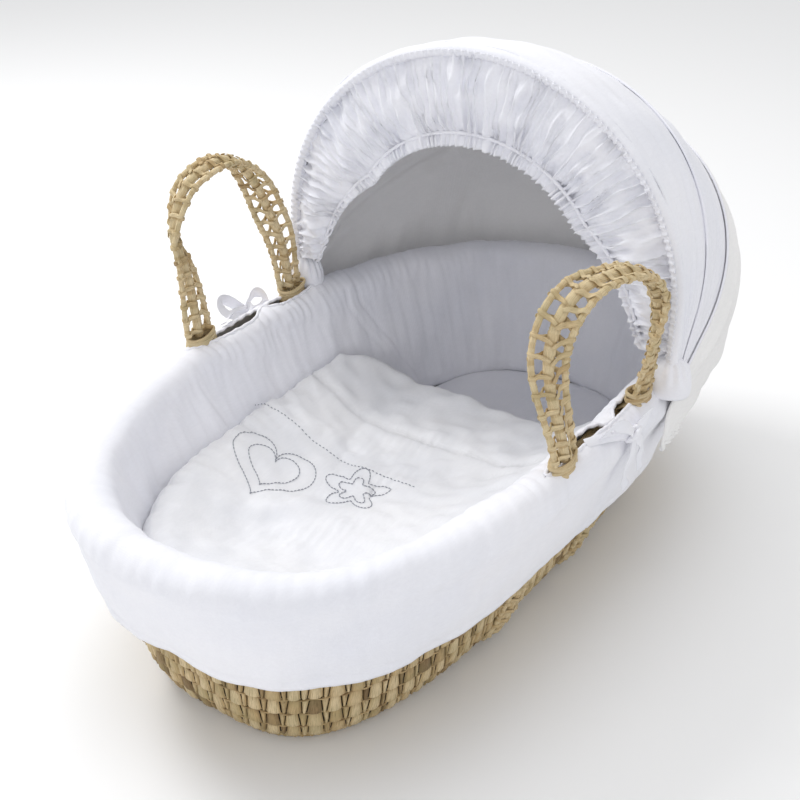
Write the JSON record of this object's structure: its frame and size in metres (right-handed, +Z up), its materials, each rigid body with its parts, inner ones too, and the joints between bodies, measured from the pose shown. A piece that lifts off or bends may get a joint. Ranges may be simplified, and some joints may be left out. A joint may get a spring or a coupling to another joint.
{
  "type": "moses basket",
  "caption": "Palm-leaf Moses basket with white padded dressing, mattress, quilted coverlet, folding frilled hood and a pair of open-plaited carrying handles.",
  "frame": {"origin": "on the floor, under the middle of the whole outline", "axes": "+Y to the head end with the hood, +X to the right-hand side seen from the foot, +Z up"},
  "size_m": [0.4977, 0.8328, 0.528],
  "materials": {
    "basket_floor": "plaited palm leaf, matt",
    "floor_plait": "plaited palm leaf, matt",
    "wall_course_1": "plaited palm leaf, matt",
    "wall_course_2": "plaited palm leaf, matt",
    "wall_course_3": "plaited palm leaf, matt",
    "wall_course_4": "plaited palm leaf, matt",
    "wall_course_5": "plaited palm leaf, matt",
    "wall_course_6": "plaited palm leaf, matt",
    "wall_course_7": "plaited palm leaf, matt",
    "wall_course_8": "plaited palm leaf, matt",
    "wall_course_9": "plaited palm leaf, matt",
    "rim_binding": "plaited palm leaf, matt",
    "wall_strap_right_foot": "plaited palm leaf, matt",
    "lashing_right_foot": "plaited palm leaf, matt",
    "wall_strap_right_head": "plaited palm leaf, matt",
    "lashing_right_head": "plaited palm leaf, matt",
    "handle_core_right": "plaited palm leaf, matt",
    "handle_cord_right_outer": "plaited palm leaf, matt",
    "handle_lattice_right_outer": "plaited palm leaf, matt",
    "handle_cord_right_inner": "plaited palm leaf, matt",
    "handle_lattice_right_inner": "plaited palm leaf, matt",
    "slot_piping_right": "white cotton, matt",
    "tie_bow_right": "white cotton, matt",
    "hood_clip_right": "moulded plastic",
    "hood_pin_right": "sprung steel wire",
    "wall_strap_left_foot": "plaited palm leaf, matt",
    "lashing_left_foot": "plaited palm leaf, matt",
    "wall_strap_left_head": "plaited palm leaf, matt",
    "lashing_left_head": "plaited palm leaf, matt",
    "handle_core_left": "plaited palm leaf, matt",
    "handle_cord_left_outer": "plaited palm leaf, matt",
    "handle_lattice_left_outer": "plaited palm leaf, matt",
    "handle_cord_left_inner": "plaited palm leaf, matt",
    "handle_lattice_left_inner": "plaited palm leaf, matt",
    "slot_piping_left": "white cotton, matt",
    "tie_bow_left": "white cotton, matt",
    "hood_clip_left": "moulded plastic",
    "hood_pin_left": "sprung steel wire",
    "liner_panel": "white cotton, matt",
    "liner_skirt": "white cotton, matt",
    "mattress_foam": "soft fibre and foam wadding",
    "mattress_sheet": "white cotton, matt",
    "coverlet": "quilted white cotton",
    "hood_front_hoop": "sprung steel wire",
    "hood_middle_hoop": "sprung steel wire",
    "hood_canopy_front": "white cotton, matt",
    "hood_canopy_middle": "white cotton, matt",
    "hood_canopy_rear": "off-white cotton, matt",
    "hood_hem_elastic": "covered elastic",
    "hood_frill": "white cotton, matt",
    "frill_elastic": "covered elastic"
  },
  "bodies": {
    "basket": {"basket_floor": "basket_floor", "floor_plait": "floor_plait", "wall_course_1": "wall_course_1", "wall_course_2": "wall_course_2", "wall_course_3": "wall_course_3", "wall_course_4": "wall_course_4", "wall_course_5": "wall_course_5", "wall_course_6": "wall_course_6", "wall_course_7": "wall_course_7", "wall_course_8": "wall_course_8", "wall_course_9": "wall_course_9", "rim_binding": "rim_binding", "wall_strap_right_foot": "wall_strap_right_foot", "lashing_right_foot": "lashing_right_foot", "wall_strap_right_head": "wall_strap_right_head", "lashing_right_head": "lashing_right_head", "slot_piping_right": "slot_piping_right", "tie_bow_right": "tie_bow_right", "hood_clip_right": "hood_clip_right", "hood_pin_right": "hood_pin_right", "wall_strap_left_foot": "wall_strap_left_foot", "lashing_left_foot": "lashing_left_foot", "wall_strap_left_head": "wall_strap_left_head", "lashing_left_head": "lashing_left_head", "slot_piping_left": "slot_piping_left", "tie_bow_left": "tie_bow_left", "hood_clip_left": "hood_clip_left", "hood_pin_left": "hood_pin_left", "liner_panel": "liner_panel", "liner_skirt": "liner_skirt", "hood_canopy_rear": "hood_canopy_rear", "hood_hem_elastic": "hood_hem_elastic"},
    "handle_right": {"handle_core_right": "handle_core_right", "handle_cord_right_outer": "handle_cord_right_outer", "handle_lattice_right_outer": "handle_lattice_right_outer", "handle_cord_right_inner": "handle_cord_right_inner", "handle_lattice_right_inner": "handle_lattice_right_inner"},
    "handle_left": {"handle_core_left": "handle_core_left", "handle_cord_left_outer": "handle_cord_left_outer", "handle_lattice_left_outer": "handle_lattice_left_outer", "handle_cord_left_inner": "handle_cord_left_inner", "handle_lattice_left_inner": "handle_lattice_left_inner"},
    "mattress": {"mattress_foam": "mattress_foam", "mattress_sheet": "mattress_sheet"},
    "coverlet": {"coverlet": "coverlet"},
    "hood_front": {"hood_front_hoop": "hood_front_hoop", "hood_canopy_front": "hood_canopy_front", "hood_frill": "hood_frill", "frill_elastic": "frill_elastic"},
    "hood_middle": {"hood_middle_hoop": "hood_middle_hoop", "hood_canopy_middle": "hood_canopy_middle"}
  },
  "joints": [
    {"name": "hood_fold", "type": "hinge", "parent": "basket", "child": "hood_front", "pos_m": [0, 0.072, 0.24], "axis": [-1, 0, 0], "range_deg": [0, 56]},
    {"name": "hood_middle_fold", "type": "hinge", "parent": "basket", "child": "hood_middle", "pos_m": [0, 0.072, 0.24], "axis": [-1, 0, 0], "range_deg": [0, 28]},
    {"name": "handle_right_swing", "type": "hinge", "parent": "basket", "child": "handle_right", "pos_m": [0.217, -0.038, 0.234], "axis": [0, 1, 0], "range_deg": [-45, 60]},
    {"name": "handle_left_swing", "type": "hinge", "parent": "basket", "child": "handle_left", "pos_m": [-0.217, -0.038, 0.234], "axis": [0, -1, 0], "range_deg": [-45, 60]},
    {"name": "mattress_lift", "type": "slide", "parent": "basket", "child": "mattress", "axis": [0, 0, 1], "range_m": [0, 0.06]},
    {"name": "coverlet_lift", "type": "slide", "parent": "mattress", "child": "coverlet", "axis": [0, 0, 1], "range_m": [0, 0.06]}
  ],
  "couplings": [
    {"joint": "hood_middle_fold", "follows": "hood_fold", "ratio": 0.5}
  ]
}
